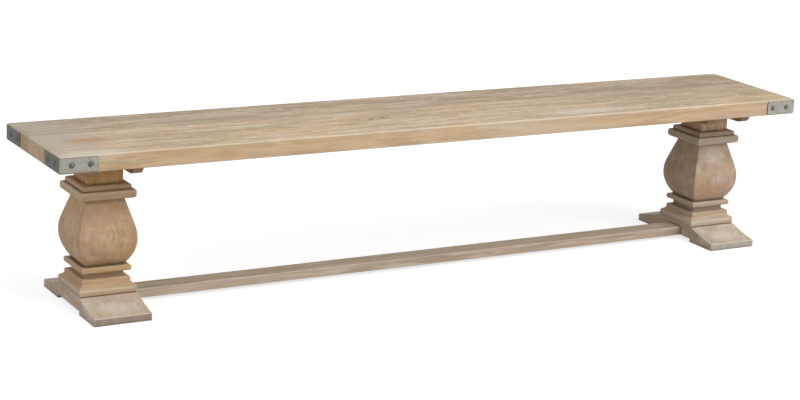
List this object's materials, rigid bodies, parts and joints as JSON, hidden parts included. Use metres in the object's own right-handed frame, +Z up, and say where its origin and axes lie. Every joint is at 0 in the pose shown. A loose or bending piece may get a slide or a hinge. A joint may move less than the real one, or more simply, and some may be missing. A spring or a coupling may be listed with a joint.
{
  "type": "bench",
  "caption": "Long backless dining bench in limed wood: thick plank seat with steel corner straps, square baluster pedestals on sledge feet and a low tie rail.",
  "frame": {"origin": "on the floor, under the middle of the seat", "axes": "+X along the bench towards its right end, +Y towards the back, +Z up; the picture's near long side faces -Y"},
  "size_m": [2.309, 0.399, 0.45],
  "materials": {
    "top_boards": "limed mango, brushed and dry",
    "cleats": "limed mango, darker in the shade",
    "neck_blocks": "limed mango, browner",
    "pedestal_mouldings": "limed mango, brushed",
    "vases": "limed mango, brushed",
    "feet": "limed mango, brushed",
    "rail": "limed mango, brushed",
    "dowels": "bare beech",
    "corner_straps": "dull galvanised sheet with rust at its edges",
    "nails": "dull dark heads",
    "screws": "zinc plated",
    "clamping_steel": "zinc plated"
  },
  "bodies": {
    "root": {"top_board_front": "top_boards", "top_board_third": "top_boards", "top_board_second": "top_boards", "top_board_back": "top_boards", "cleat_left_outer": "cleats", "cleat_left_inner": "cleats", "cleat_right_inner": "cleats", "cleat_right_outer": "cleats", "neck_block_left": "neck_blocks", "neck_block_right": "neck_blocks", "cap_moulding_left": "pedestal_mouldings", "cap_moulding_right": "pedestal_mouldings", "cap_plate_left": "pedestal_mouldings", "cap_plate_right": "pedestal_mouldings", "vase_left": "vases", "vase_right": "vases", "collar_left": "pedestal_mouldings", "collar_right": "pedestal_mouldings", "plinth_left": "pedestal_mouldings", "plinth_right": "pedestal_mouldings", "foot_left": "feet", "foot_right": "feet", "foot_rail": "rail", "board_dowels": "dowels", "corner_strap_front_left": "corner_straps", "corner_strap_front_right": "corner_straps", "corner_strap_back_left": "corner_straps", "corner_strap_back_right": "corner_straps", "strap_nails": "nails", "cleat_top_screws": "screws", "cleat_neck_screws": "screws", "rail_screws": "screws", "tie_rod_left": "clamping_steel", "tie_rod_right": "clamping_steel", "rod_nuts": "clamping_steel", "rod_washers": "clamping_steel"}
  },
  "joints": []
}
